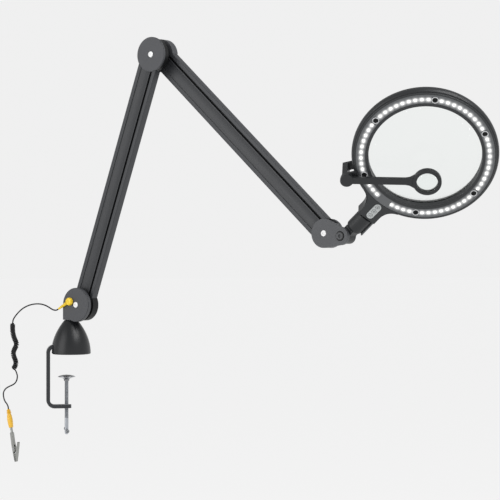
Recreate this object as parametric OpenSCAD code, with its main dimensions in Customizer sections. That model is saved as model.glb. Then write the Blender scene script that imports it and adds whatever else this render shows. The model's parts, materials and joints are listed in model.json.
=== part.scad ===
// Ring-lit magnifying lamp on a two-section spring arm with a table clamp.
// Row frame: origin at the centre of the base underside on the swivel axis,
// +Z up, +X from the table edge in over the table, +Y away from the front.
// The arm frame is the row frame turned by arm_yaw about Z: its X runs along
// the reach, its Y is depth (the axis of every arm pivot).

/* [Pose] */
// Turn of the arm plane about the swivel axis
arm_yaw = -45; // [-90:1:90]
// Lean of the lower arm from the vertical
lower_lean = 20.1; // [5:0.1:40]
// Drop of the upper arm below the horizontal
upper_drop = 42; // [20:0.1:60]
// Rise of the head neck above the horizontal
neck_rise = 40.8; // [20:0.1:60]
// Twist of the head about its neck
neck_twist = 46.8; // [0:0.1:80]

/* [Base and clamp] */
// Outer radius of the bell cover at its foot
bell_r = 31; // [28:0.5:36]
// Radius of the bell cover at its top
bell_top_r = 10.2; // [10:0.1:14]
// Height of the bell cover
bell_h = 53.7; // [50:0.1:54]
// Thickness of the flat clamp bar
bar_t = 5.5; // [4:0.5:6]
// Width of the flat clamp bar
bar_w = 15; // [12:1:18]
// Distance from the swivel axis to the outer face of the bar
bar_reach = 38.6; // [38:0.1:44]
// Depth of the clamp below the table top
clamp_drop = 84.9; // [80:0.1:100]
// Radius of the clamp screw
screw_r = 3; // [3:0.25:4]
// Radius of the pressure plate
plate_r = 13.8; // [11:0.1:16]

/* [Arms] */
// Pivot to pivot length of the lower arm
lower_len = 409; // [350:1:500]
// Pivot to pivot length of the upper arm
upper_len = 410; // [350:1:500]
// Width of the arm profile
arm_w = 35.5; // [32:0.5:38]
// Depth of the arm profile
arm_t = 12.5; // [12:0.5:13]
// Radius of the shoulder and elbow discs
disc_r = 26.6; // [26:0.1:29]
// Distance from the swivel axis to the shoulder pivot
shoulder_out = 20; // [19:0.5:22]
// Height of the shoulder pivot
shoulder_up = 78; // [78:0.5:84]

/* [Wrist] */
// Radius of the wrist drum
drum_r = 21; // [20.5:0.5:22]
// Radius of the tilt knuckle
knuckle_r = 11.2; // [10:0.1:11.2]
// Radius of the neck barrel
barrel_r = 12.3; // [11.5:0.1:13]
// Distance from the tilt axis to the centre of the lens ring
neck_len = 173.7; // [173:0.1:180]

/* [Head] */
// Largest radius of the ring housing
ring_r = 102.4; // [102:0.1:104]
// Height of the ring housing
ring_h = 26.5; // [25:0.5:29]
// Radius of the circle of lights
led_circle_r = 89; // [88:0.5:90]
// Radius of one light
led_r = 3.05; // [2.6:0.05:3.1]
// Radius of the main lens
lens_r = 81.5; // [81:0.1:82]
// Radius of curvature of the main lens faces
lens_curve = 373; // [300:1:500]

/* [Second lens] */
// Distance from the swing pivot to the centre of the second lens
swing_len = 111.8; // [90:0.1:120]
// Radius of the second lens
small_lens_r = 15.8; // [15:0.1:18]

/* [Hidden] */
$fn = 72;

run_gap = 0.05;                       // radial clearance of a running fit
step = 0.05;                          // keeps joined round faces from coinciding
shell_dark = [0.20, 0.21, 0.22];
arm_grey = [0.30, 0.31, 0.33];
black = [0.07, 0.07, 0.08];
steel = [0.72, 0.73, 0.75];
white = [0.94, 0.94, 0.94];
yellow = [0.96, 0.80, 0.10];

// ---- base ----
bar_top = 15.1;                       // upper face of the bar's top arm
bend_r = 12.6;                        // outer bend radius of the bar
screw_x = -7;                         // clamp screw axis
screw_foot_z = -123.5;                // centre of the screw's rounded foot
tommy_z = -119.5;                     // height of the sliding bar through the screw
tommy_r = 2;
bar_in_x = -10;                       // where the bar ends under the cover
cover_t = 2;
slot_half_w = 8.2;                    // half the slot that the bar passes through
bush_x = 8;                           // the bush starts this far before the screw axis
base_screw_x = [-14, -22];
post_r = 6;
post_foot_z = 14;
post_shoulder_z = 53.9;
bracket_z = 54.2;                     // underside of the bracket, just above the cover
tongue_top_z = 60;

// ---- depths along the pivots, arm frame Y ----
cheek_front = -12;
cheek_back = -6;
spacer_r = 22;                        // black spacer between bracket and lower arm
plate_t = 3;                          // thickness of the elbow's front plate
core_r = 25;                          // elbow core behind that plate
lower_front = 1.2;
lower_back = lower_front + arm_t;
upper_front = 24;
upper_back = upper_front + arm_t;
drum_front = 20;
drum_back = 40.6;
drum_cheek = 3.6;
tilt_depth = 35.6;                    // depth of the neck axis
knuckle_front = 26.4;
knuckle_back = 45;
pivot_r = 5;
wrist_pin_r = 4;
cap_r = 4.5;

// ---- arm profile ----
dish_w = 18;                          // width of the dished front channel
dish_x = -2;
dish_depth = 2.2;
dish_curve = 40;
groove_w = 3.6;
groove_x = 8.4;
groove_depth = 5.5;
cavity_x0 = -15.8;
cavity_x1 = 6.8;
cavity_y0 = 3.8;
cavity_y1 = 10.9;
profile_start = -12;                  // the profile overlaps its end fitting by this
foot_r = 25;
tip_r = 16.9;
tongue_len = 60;

// ---- wrist ----
tilt_dx = 28.2;                       // tilt axis from the wrist pivot
tilt_dz = -4;
boss_r = 13;
barrel_x0 = 15.5;
barrel_x1 = 44.2;
neck_end_x = 45.5;                    // where the neck housing starts, tilt frame
tab_end = 51;                         // end of the steel strip let into the neck housing
ring_drop = 10;                       // neck axis above the light-side face

// ---- head, ring frame: Z up, lights face -Z, neck towards -X ----
rim_r = 98.9;                         // outer radius of the light-side rim
rim_z = 2.6;
bulge_z = 9;                          // height of the widest circle
crown_r = 85;
collar_r = 82.8;                      // outer radius of the collar round the opening
neck_cut_r = 97.5;                    // the neck's pieces stop here, inside the rim
lens_z = 14;
led_count = 62;                       // places on the circle, blanks and screws included
led_pitch = 360 / led_count;
neck_place = 46.5;                    // place number on the neck side
screw_places = [0, 11, 21, 31, 41, 52];
blank_places = [46, 47];
neck_half_w = 14.5;
neck_fillet = 24;
neck_h = 20;
keypad_x = -112;
keypad_y = 0.9;
keypad_r = 5.25;
key_pitch = 8;
key_r = 3;

// ---- second lens, ring frame ----
swing_r = 112.7;                      // pivot distance from the ring centre
swing_az = 214.9;                     // pivot azimuth
swing_turn = 51.2;                    // direction of the arm at rest
clip_half_w = 6;
clip_x0 = 110.5;
clip_x1 = 118;

// ---- ground cord, arm frame [X, Z] in the plane Y = cord_y ----
cord_y = -15;
cord_r = 1.1;
coil_r = 4.2;
snap_at = [8.7, 83];
snap_r = 6.2;
boot_to = [-13, 71];
grip_at = [-121, -92];
grip_lean = 11.8;                     // lean of the hanging clip from the vertical
lead_route = [
    [-13, 71], [-18, 69], [-25, 69.8], [-32, 72.8], [-40, 76], [-50, 78], [-60, 78.2],
    [-70, 77], [-80, 74.4], [-90, 70], [-98, 64.6], [-105, 58.4], [-110, 52.4], [-111.8, 46]
];
coil_route = [
    [-111.6, 46], [-111.6, 39], [-111.2, 32.3], [-109.5, 26], [-107, 20.7], [-104, 16],
    [-103.4, 11.3], [-106, 7], [-108.8, 2.6], [-110, -2.7], [-108, -8.6], [-104.9, -14],
    [-104.6, -19], [-106.8, -23.2], [-110, -26.4]
];
tail_route = [
    [-105.8, -28.6], [-103.4, -32.2], [-101.4, -37.7], [-102.4, -44.3], [-106, -49.2],
    [-111.7, -52.7], [-119.5, -55.6], [-126.6, -59.3], [-131, -64.2], [-132, -69.3],
    [-130.5, -76], [-127.6, -80.6], [-123.8, -84.3], [-121.6, -88.2], [-121, -92]
];

// ---- frames ----
module arm_frame() { rotate([0, 0, arm_yaw]) children(); }
module shoulder_frame() { arm_frame() translate([shoulder_out, 0, shoulder_up]) children(); }
module lower_frame() { shoulder_frame() rotate([0, lower_lean, 0]) children(); }
elbow = [
    shoulder_out + lower_len * sin(lower_lean), 0, shoulder_up + lower_len * cos(lower_lean)
];
module elbow_frame() { arm_frame() translate(elbow) children(); }
module upper_frame() { elbow_frame() rotate([0, 90 + upper_drop, 0]) children(); }
wrist = elbow + upper_len * [cos(upper_drop), 0, -sin(upper_drop)];
module wrist_frame() { arm_frame() translate(wrist) children(); }
module tilt_frame() {
    arm_frame() translate(wrist + [tilt_dx, tilt_depth, tilt_dz])
        rotate([0, -neck_rise, 0]) children();
}
module ring_frame() {
    tilt_frame() rotate([-neck_twist, 0, 0]) translate([neck_len, 0, -ring_drop]) children();
}
module clip_frame() { ring_frame() rotate([0, 0, swing_az]) children(); }
module swing_frame() {
    ring_frame() rotate([0, 0, swing_az]) translate([swing_r, 0, 0])
        rotate([0, 0, swing_turn - swing_az]) children();
}
module croc_frame() {
    arm_frame() translate([grip_at[0], cord_y, grip_at[1]])
        rotate([0, 90 - grip_lean, 0]) children();
}

// ---- shared shapes ----
// Cylinder along Y between two depths.
module cyl_y(r, y0, y1, x = 0, z = 0, sides = 72) {
    translate([x, y0, z]) rotate([-90, 0, 0]) cylinder(h = y1 - y0, r = r, $fn = sides);
}
module rounded_rect(w, h, r) {
    translate([-w / 2 + r, 0]) square([w - 2 * r, h]);
    translate([-w / 2, r]) square([w, h - 2 * r]);
    for (sx = [-1, 1], y = [r, h - r]) {
        translate([sx * (w / 2 - r), y]) circle(r = r, $fn = 24);
    }
}
// Two circles joined by their outer tangents.
module link_2d(r1, r2, d) {
    a = acos((r1 - r2) / d);
    circle(r = r1);
    translate([d, 0]) circle(r = r2);
    polygon([
        r1 * [cos(a), sin(a)], [d, 0] + r2 * [cos(a), sin(a)],
        [d, 0] + r2 * [cos(a), -sin(a)], r1 * [cos(a), -sin(a)]
    ]);
}
// Dished cap over a pivot, facing -Y.
module pivot_cap(y0) {
    color(white) difference() {
        rotate([-90, 0, 0]) rotate_extrude() {
            polygon([
                [0, y0], [cap_r - 1, y0], [cap_r - 0.3, y0 + 0.3], [cap_r, y0 + 0.9],
                [cap_r, y0 + 2.2], [0, y0 + 2.2]
            ]);
        }
        cyl_y(1.3, y0 - 1, y0 + 0.7);
    }
}

// ---- swept tube in the plane Y = cord_y ----
function mid_point(p, i, t) =
    let (a = p[max(i - 1, 0)], b = p[i], c = p[i + 1], d = p[min(i + 2, len(p) - 1)])
    0.5 * (2 * b + (c - a) * t + (2 * a - 5 * b + 4 * c - d) * t * t
        + (3 * b - a - 3 * c + d) * t * t * t);
function smooth_route(p, n) = concat(
    [for (i = [0 : len(p) - 2], k = [0 : n - 1]) mid_point(p, i, k / n)], [p[len(p) - 1]]
);
function heading(p, i) =
    let (v = p[min(i + 1, len(p) - 1)] - p[max(i - 1, 0)]) v / norm(v);
module plane_tube(route, r, n, sides = 8) {
    p = smooth_route(route, n);
    m = len(p);
    pts = [
        for (i = [0 : m - 1], k = [0 : sides - 1])
            let (h = heading(p, i), a = 360 * (k + 0.5) / sides)
            [p[i][0] - h[1] * r * cos(a), cord_y + r * sin(a), p[i][1] + h[0] * r * cos(a)]
    ];
    walls = [
        for (i = [0 : m - 2], k = [0 : sides - 1])
            let (j = (k + 1) % sides)
            [i * sides + k, (i + 1) * sides + k, (i + 1) * sides + j, i * sides + j]
    ];
    first = [for (k = [0 : sides - 1]) k];
    last = [for (k = [sides - 1 : -1 : 0]) (m - 1) * sides + k];
    arm_frame() polyhedron(points = pts, faces = concat([first], walls, [last]));
}

// ---- clamp ----
module bar_outline(x0, z0, z1, r) {
    translate([(x0 + 40) / 2, z0]) rounded_rect(40 - x0, z1 - z0, r);
}
module clamp_bar() {
    color(arm_grey) difference() {
        rotate([90, 0, 0]) translate([0, 0, -bar_w / 2]) linear_extrude(bar_w) {
            difference() {
                bar_outline(-bar_reach, -clamp_drop, bar_top, bend_r);
                bar_outline(-bar_reach + bar_t, -clamp_drop + bar_t, bar_top - bar_t,
                    bend_r - bar_t);
                translate([bar_in_x, -20]) square([80, 60]);
                translate([screw_x - bush_x, -clamp_drop - 5]) square([80, 60]);
                translate([-bar_reach + 2 * bar_t, -30]) square([80, 10]);
            }
        }
        for (x = base_screw_x) {
            translate([x, 0, 0]) cylinder(h = 30, r = 2.45);
        }
    }
}
// Threaded end of the lower arm of the clamp.
module clamp_bush() {
    color(arm_grey) translate([screw_x, 0, -clamp_drop]) difference() {
        union() {
            cylinder(h = bar_t, r = bar_w / 2);
            translate([-bush_x, -bar_w / 2, 0]) cube([bush_x, bar_w, bar_t]);
        }
        translate([0, 0, -1]) cylinder(h = bar_t + 2, r = screw_r + run_gap);
    }
}
function bell_at(z) = bell_r - (bell_r - bell_top_r) * pow(z / bell_h, 2.12);
module base_cover() {
    steps = 18;
    outer = [for (i = [0 : steps]) let (z = 1.5 + (bell_h - 1.5) * i / steps) [bell_at(z), z]];
    inner = [for (i = [steps : -1 : 0]) outer[i] - [cover_t, i == steps ? 0 : 0.4]];
    color(shell_dark) difference() {
        rotate_extrude($fn = 120) {
            polygon(concat([[bell_r - 1, 0.3]], outer, inner, [[bell_r - cover_t - 0.2, 0.3]]));
        }
        translate([-60, -slot_half_w, -1]) cube([40, 2 * slot_half_w, bar_top + 1.7]);
    }
}
module base_core() {
    color(black) difference() {
        union() {
            translate([0, 0, 1.5]) cylinder(h = 8, r = bell_r - 3);
            translate([0, 0, 1.5]) cylinder(h = 48.5, r = 9.8);
            translate([-26.6, -slot_half_w + 0.3, 1.5]) {
                cube([18, 2 * slot_half_w - 0.6, 8]);
            }
        }
        translate([0, 0, 12]) cylinder(h = 60, r = 7.6);
        for (x = base_screw_x) {
            translate([x, 0, 2.5]) cylinder(h = 30, r = 2.45);
        }
    }
}
module base_pad() { color(black) cylinder(h = 1.5, r = bell_r - 3); }
module post_bush() {
    color(white) difference() {
        union() {
            translate([0, 0, 12]) cylinder(h = 38, r = 7.55);
            translate([0, 0, 50]) cylinder(h = 2.8, r = 8);
        }
        translate([0, 0, 11]) cylinder(h = 60, r = post_r + run_gap);
    }
}
module base_screws() {
    color(steel) for (x = base_screw_x) {
        translate([x, 0, 3]) cylinder(h = bar_top - 3, r = 2.4);
        difference() {
            translate([x, 0, bar_top]) cylinder(h = 3, r = 3.4);
            translate([x, 0, bar_top + 1.2]) cylinder(h = 4, r = 1.8, $fn = 6);
        }
    }
}
module pressure_plate() {
    neck = 4.2;
    steps = 9;
    flare = [
        for (i = [0 : steps])
            [neck + (plate_r - neck) * pow(1 - i / steps, 2.4), -35.9 - 5.1 * i / steps]
    ];
    color(steel) translate([screw_x, 0, 0]) difference() {
        rotate_extrude() polygon(concat(
            [[0, -32.2], [plate_r * 0.45, -32.8], [plate_r * 0.8, -33.9], [plate_r, -35]],
            flare, [[neck, -42], [0, -42]]
        ));
        translate([0, 0, -44]) cylinder(h = 7.4, r = screw_r + run_gap);
    }
}
module clamp_screw() {
    color(steel) translate([screw_x, 0, 0]) difference() {
        union() {
            translate([0, 0, screw_foot_z]) cylinder(h = -37 - screw_foot_z, r = screw_r);
            translate([0, 0, screw_foot_z]) sphere(r = screw_r, $fn = 36);
        }
        cyl_y(tommy_r + run_gap, -10, 10, 0, tommy_z);
    }
}
module tommy_bar() {
    half = 24;
    color(steel) translate([screw_x, 0, tommy_z]) {
        cyl_y(tommy_r, -half, half);
        for (y = [-half, half]) {
            translate([0, y, 0]) sphere(r = 3, $fn = 36);
        }
    }
}

// ---- swivel bracket ----
module swivel_post() {
    color(steel) {
        translate([0, 0, post_foot_z]) cylinder(h = post_shoulder_z - post_foot_z, r = post_r);
        arm_frame() translate([-4, -5.5, post_shoulder_z - 1]) {
            cube([8, 5, tongue_top_z - post_shoulder_z + 1]);
        }
    }
}
module shoulder_bracket() {
    web_w = 16;
    block_w = 12;
    web_front = cheek_front + 0.4;
    block_back = 0.8;
    color(arm_grey) arm_frame() difference() {
        union() {
            cyl_y(disc_r - 0.8, cheek_front, cheek_back, shoulder_out, shoulder_up);
            cyl_y(disc_r, cheek_front + 0.8, cheek_back, shoulder_out, shoulder_up);
            translate([shoulder_out - disc_r, web_front, bracket_z]) {
                cube([web_w, cheek_back - web_front, shoulder_up - bracket_z]);
            }
            translate([shoulder_out - disc_r, web_front, bracket_z]) {
                cube([block_w, block_back - web_front, tongue_top_z + 1 - bracket_z]);
            }
            translate([0, 0, bracket_z]) cylinder(h = 1.8, r = 7);
        }
        translate([-4.05, -5.55, 50]) cube([8.1, 5.1, tongue_top_z - 50 + 0.05]);
        cyl_y(pivot_r + run_gap, cheek_front - 5, 20, shoulder_out, shoulder_up);
    }
}
module shoulder_cap() { shoulder_frame() pivot_cap(cheek_front - 0.8); }
module shoulder_bolt() {
    color(steel) shoulder_frame() cyl_y(pivot_r, cheek_front + 1.5, lower_back + 4.5);
}
module shoulder_nut() {
    color(steel) shoulder_frame() difference() {
        cyl_y(9, lower_back + 0.5, lower_back + 4.2, sides = 6);
        cyl_y(pivot_r, lower_back, lower_back + 6);
    }
}

// ---- ground cord ----
module esd_snap() {
    color(yellow) arm_frame() translate([snap_at[0], 0, snap_at[1]]) rotate([-90, 0, 0]) {
        rotate_extrude() polygon([
            [0, cheek_front - 5.2], [snap_r - 1.6, cheek_front - 5.2],
            [snap_r - 0.5, cheek_front - 4.7], [snap_r, cheek_front - 3.6],
            [snap_r, cheek_front], [0, cheek_front]
        ]);
    }
}
boot_run = boot_to - snap_at;
boot_len = norm(boot_run);
boot_turn = atan2(boot_run[0], boot_run[1]);
module cord_boot() {
    color(yellow) arm_frame() translate([snap_at[0], cord_y, snap_at[1]]) {
        rotate([0, boot_turn, 0]) difference() {
            rotate_extrude($fn = 36) polygon([
                [0, snap_r - 1], [2.6, snap_r - 1], [2.3, snap_r + 5], [1.5, boot_len],
                [0, boot_len]
            ]);
            cyl_y(snap_r + 0.02, -10, 10);
        }
    }
}
module cord_lead() { color(black) plane_tube(lead_route, cord_r, 2); }
module cord_coil() { color(black) plane_tube(coil_route, coil_r, 1, 12); }
module cord_tail() { color(black) plane_tube(tail_route, cord_r, 2); }
module clip_grip() {
    color([0.92, 0.66, 0.12]) croc_frame() rotate([0, 90, 0]) {
        rotate_extrude($fn = 36) polygon([
            [0, 0], [2.6, 0], [3.6, 0.8], [3.6, 1.8], [4.4, 2.2], [4.4, 3.6], [3.6, 4],
            [3.6, 5.6], [4.4, 6], [4.4, 7.4], [3.6, 7.8], [3.9, 29], [3.4, 30], [0, 30]
        ]);
    }
}
croc_pivot = [64, 0.6];
// Row of n teeth of height h between two points.
function teeth(x0, y0, x1, y1, n, h) = [
    for (i = [0 : 2 * n])
        let (t = i / (2 * n))
        [x0 + (x1 - x0) * t, y0 + (y1 - y0) * t + (i % 2 == 1 ? h : 0)]
];
module croc_body() {
    color(steel) croc_frame() {
        translate([30, 0, 0]) rotate([0, 90, 0]) cylinder(h = 10, r = 2.1);
        difference() {
            translate([0, 2.5, 0]) rotate([90, 0, 0]) linear_extrude(5) {
                polygon(concat(
                    [[38, -2.1], [50, -2.5], [60, -2.8], [76, -2.2], [85, -1.2]],
                    [[85, -0.4]], teeth(84, -0.8, 70, -1.3, 5, 0.6),
                    [[68, 2.2], [65.6, 3], [62.4, 3], [60, 2.2], [50, 2], [38, 2.1]]
                ));
            }
            cyl_y(1.25, -5, 5, croc_pivot[0], croc_pivot[1]);
            translate([58, -1.6, -2.2]) cube([12, 3.2, 9]);
        }
    }
}
module croc_pin() {
    color(steel) croc_frame() cyl_y(1.2, -3.2, 3.2, croc_pivot[0], croc_pivot[1]);
}
module croc_jaw() {
    color(steel) croc_frame() difference() {
        union() {
            translate([0, 1.3, 0]) rotate([90, 0, 0]) linear_extrude(2.6) {
                polygon([[62.2, -1.2], [65.8, -1.2], [69, 6], [62, 8], [61, 6]]);
            }
            translate([0, 2.5, 0]) rotate([90, 0, 0]) linear_extrude(5) {
                polygon(concat(
                    [[62, 8]], teeth(69.5, 5.4, 84, 0.9, 5, -0.6),
                    [[85, 0.2], [85, 1], [72, 6], [56, 11.5], [54.9, 11.2], [55.3, 10.2]]
                ));
            }
        }
        cyl_y(1.25, -5, 5, croc_pivot[0], croc_pivot[1]);
    }
}

// ---- arms ----
// Section of the arm profile; side is +1 or -1, the edge that the groove is near.
module profile_2d(side) {
    mirror([side > 0 ? 0 : 1, 0, 0]) difference() {
        rounded_rect(arm_w, arm_t, 1.2);
        intersection() {
            translate([dish_x - dish_w / 2, -1]) square([dish_w, arm_t]);
            translate([dish_x, dish_depth - dish_curve]) circle(r = dish_curve, $fn = 180);
        }
        translate([dish_x - dish_w / 2, -1]) square([dish_w, 1.9]);
        translate([groove_x, -1]) square([groove_w, 1 + groove_depth]);
        translate([cavity_x0, cavity_y0]) square([cavity_x1 - cavity_x0, cavity_y1 - cavity_y0]);
    }
}
// Block that plugs into the profile's cavity.
module tongue(front, z0, z1, side) {
    x0 = side > 0 ? cavity_x0 : -cavity_x1;
    translate([x0 + 0.1, front + cavity_y0 + 0.1, z0]) {
        cube([cavity_x1 - cavity_x0 - 0.2, cavity_y1 - cavity_y0 - 0.2, z1 - z0]);
    }
}
// Space that the profile takes in its round end fitting.
module profile_slot(front, z0, z1) {
    translate([-arm_w / 2 - 0.05, front - 1, z0]) cube([arm_w + 0.1, arm_t + 2, z1 - z0]);
}
module spring_shape(front, z0, z1, side) {
    x = side * (cavity_x0 + cavity_x1) / 2;
    y = front + (cavity_y0 + cavity_y1) / 2;
    translate([x, y, z0 + 8]) difference() {
        cylinder(h = z1 - z0 - 16, r = 3.3);
        translate([0, 0, -1]) cylinder(h = z1 - z0, r = 2.3);
    }
    translate([x, y, z0]) cylinder(h = 9, r = 2.31);
    translate([x, y, z1 - 9]) cylinder(h = 9, r = 2.31);
}
module lower_foot() {
    color(black) lower_frame() difference() {
        union() {
            difference() {
                cyl_y(foot_r, lower_front, lower_back);
                profile_slot(lower_front, profile_start - 0.05, 60);
            }
            cyl_y(spacer_r, cheek_back + 0.4, lower_front);
            tongue(lower_front, profile_start - 2, tongue_len, 1);
        }
        cyl_y(pivot_r + run_gap, -20, 40);
        cyl_y(1.6, lower_back - 4, 40, -19.8, -10);
    }
}
module lower_profile() {
    color(arm_grey) lower_frame() difference() {
        translate([0, lower_front, profile_start]) {
            linear_extrude(lower_len - profile_start) profile_2d(1);
        }
        cyl_y(pivot_r + 0.5, -20, 40);
        cyl_y(disc_r + 0.1, -20, 40, 0, lower_len);
    }
}
module lower_spring() {
    color(steel) lower_frame() {
        spring_shape(lower_front, tongue_len, lower_len - tongue_len - disc_r, 1);
    }
}
module elbow_disc() {
    color(arm_grey) lower_frame() difference() {
        union() {
            cyl_y(disc_r - 0.6, lower_front, lower_front + plate_t, 0, lower_len);
            cyl_y(disc_r, lower_front + 0.6, lower_front + plate_t, 0, lower_len);
        }
        cyl_y(pivot_r + run_gap, -20, 40, 0, lower_len);
    }
}
module elbow_core() {
    color(black) lower_frame() difference() {
        union() {
            cyl_y(core_r, lower_front + plate_t, lower_back, 0, lower_len);
            cyl_y(19, lower_back - 1, upper_front - 0.4, 0, lower_len);
            tongue(lower_front, lower_len - tongue_len - disc_r, lower_len - 20, 1);
        }
        cyl_y(pivot_r + run_gap, -20, 40, 0, lower_len);
    }
}
module elbow_bolt() {
    color(steel) elbow_frame() cyl_y(pivot_r, lower_front + 1.5, upper_back + 5);
}
module elbow_cap() { elbow_frame() pivot_cap(lower_front - 0.8); }
module elbow_nut() {
    color(steel) elbow_frame() difference() {
        cyl_y(9, upper_back + 0.5, upper_back + 4.6, sides = 6);
        cyl_y(pivot_r, upper_back, upper_back + 9);
    }
}
module cable_gland() {
    color(black) lower_frame() difference() {
        union() {
            cyl_y(1.55, lower_back - 3.5, lower_back + 1, -19.8, -10);
            cyl_y(3.4, lower_back, lower_back + 3.2, -19.8, -10);
        }
        cyl_y(1.1, lower_back - 6, lower_back + 8, -19.8, -10);
    }
}
module upper_root() {
    color(black) upper_frame() difference() {
        union() {
            difference() {
                cyl_y(foot_r, upper_front, upper_back);
                profile_slot(upper_front, profile_start - 0.05, 60);
            }
            tongue(upper_front, profile_start - 2, tongue_len, -1);
        }
        cyl_y(pivot_r + run_gap, -20, 60);
    }
}
module upper_profile() {
    color(arm_grey) upper_frame() difference() {
        translate([0, upper_front, profile_start]) {
            linear_extrude(upper_len) profile_2d(-1);
        }
        cyl_y(pivot_r + 0.5, -20, 60);
    }
}
module upper_spring() {
    color(steel) upper_frame() {
        spring_shape(upper_front, tongue_len, upper_len - tongue_len - 10, -1);
    }
}
module upper_tip() {
    color(black) upper_frame() difference() {
        union() {
            difference() {
                cyl_y(tip_r, upper_front, upper_back, 0, upper_len);
                profile_slot(upper_front, upper_len - 60, upper_len + profile_start + 0.05);
            }
            tongue(upper_front, upper_len - tongue_len - 10, upper_len + profile_start + 2, -1);
        }
        cyl_y(wrist_pin_r + run_gap, -20, 60, 0, upper_len);
    }
}

// ---- wrist ----
tilt_reach = norm([tilt_dx, tilt_dz]);
tilt_bearing = -atan2(tilt_dz, tilt_dx);
rim_from = -110;
rim_to = 45;
module rim_sector() {
    span = 5;
    polygon(concat(
        [[0, 0]],
        [for (a = [rim_from : span : rim_to]) 30 * [cos(a), sin(a)]]
    ));
}
module wrist_bracket() {
    color(arm_grey) wrist_frame() difference() {
        union() {
            translate([0, drum_front + drum_cheek, 0]) rotate([90, 0, 0]) {
                linear_extrude(drum_cheek) rotate([0, 0, -tilt_bearing]) {
                    link_2d(drum_r, boss_r, tilt_reach);
                }
            }
            cyl_y(boss_r - step, drum_front + 1, knuckle_front - 0.4, tilt_dx, tilt_dz);
            cyl_y(drum_r, drum_back - drum_cheek, drum_back);
            translate([0, drum_back - 1, 0]) rotate([90, 0, 0]) {
                linear_extrude(drum_back - drum_front - 2) intersection() {
                    difference() {
                        circle(r = drum_r - step);
                        circle(r = tip_r + 1.5);
                    }
                    rim_sector();
                }
            }
        }
        cyl_y(knuckle_r + 0.5, knuckle_front - 0.4, 60, tilt_dx, tilt_dz);
        cyl_y(tip_r + 0.5, drum_front + drum_cheek, drum_back - drum_cheek);
        cyl_y(wrist_pin_r + run_gap, 0, 60);
        cyl_y(cap_r + 0.05, 0, drum_front + 1.5);
        cyl_y(wrist_pin_r + run_gap, 0, 60, tilt_dx, tilt_dz);
        cyl_y(7, 0, drum_front + 2.5, tilt_dx, tilt_dz);
    }
}
module wrist_pins() {
    color(steel) wrist_frame() {
        cyl_y(wrist_pin_r, drum_front + 1.6, drum_back + 0.5);
        cyl_y(6.5, drum_back, drum_back + 1.8);
        difference() {
            cyl_y(wrist_pin_r, drum_front + 3, knuckle_back - 1, tilt_dx, tilt_dz);
            cyl_y(2 + run_gap, drum_front, drum_front + 14, tilt_dx, tilt_dz);
        }
    }
}
module wrist_cap() { wrist_frame() pivot_cap(drum_front - 0.7); }
module tilt_knob() {
    color(arm_grey) wrist_frame() difference() {
        union() {
            cyl_y(6.2, drum_front - 0.8, drum_front + 2.2, tilt_dx, tilt_dz);
            cyl_y(2, drum_front + 2, drum_front + 12, tilt_dx, tilt_dz);
        }
        cyl_y(2.9, drum_front - 2, drum_front + 1, tilt_dx, tilt_dz, 6);
    }
}
module tilt_barrel() {
    edge = 5;
    corner = [
        for (a = [0 : 15 : 90])
            [barrel_r - edge + edge * sin(a), barrel_x0 + edge - edge * cos(a)]
    ];
    color(shell_dark) tilt_frame() difference() {
        union() {
            cyl_y(knuckle_r, knuckle_front - tilt_depth, knuckle_back - tilt_depth);
            translate([0, -8.6, -7.5]) cube([barrel_x0 + 1, 17.2, 15]);
            rotate([0, 90, 0]) rotate_extrude() {
                polygon(concat(
                    [[0, barrel_x0]], corner,
                    [[barrel_r, barrel_x1 - 0.5], [barrel_r - 0.5, barrel_x1], [0, barrel_x1]]
                ));
            }
        }
        cyl_y(wrist_pin_r + run_gap, -30, 30);
        translate([barrel_x0 + 5, 0, 0]) rotate([0, 90, 0]) {
            cylinder(h = 60, r = pivot_r + run_gap);
        }
    }
}

// ---- head ----
module neck_pin() {
    color(steel) tilt_frame() translate([barrel_x0 + 6, 0, 0]) rotate([0, 90, 0]) {
        cylinder(h = 35, r = pivot_r);
    }
}
module neck_tab() {
    color([0.38, 0.39, 0.40]) ring_frame() translate([-neck_len, 0, ring_drop]) difference() {
        translate([18, barrel_r + 0.5, -6]) cube([tab_end - 18, 2, 9]);
        rotate([0, 90, 0]) cylinder(h = neck_end_x - 0.1, r = barrel_r + 0.5);
    }
}
// Neck plan, with fillets that meet the ring at radius join_r.
module neck_outline(join_r) {
    far = neck_half_w + neck_fillet;
    reach = sqrt(pow(join_r + neck_fillet, 2) - far * far);
    touch = join_r / (join_r + neck_fillet);
    translate([neck_end_x - neck_len, -neck_half_w]) square([40, 2 * neck_half_w]);
    difference() {
        polygon([
            [-reach, -neck_half_w], [-reach * touch, -far * touch], [-80, -far * touch],
            [-80, far * touch], [-reach * touch, far * touch], [-reach, neck_half_w]
        ]);
        for (s = [-1, 1]) {
            translate([-reach, s * far]) circle(r = neck_fillet);
        }
    }
}
function side_arc(n) = [
    for (i = [0 : n - 1])
        let (a = 90 * i / n)
        [rim_r + (ring_r - rim_r) * sin(a), bulge_z - (bulge_z - rim_z) * cos(a)]
];
function crown_arc(n, wall) = [
    for (i = [0 : n])
        let (a = 90 * i / n)
        [crown_r + (ring_r - crown_r - wall) * cos(a), bulge_z + (ring_h - bulge_z - wall) * sin(a)]
];
function reversed(v) = [for (i = [len(v) - 1 : -1 : 0]) v[i]];
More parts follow.
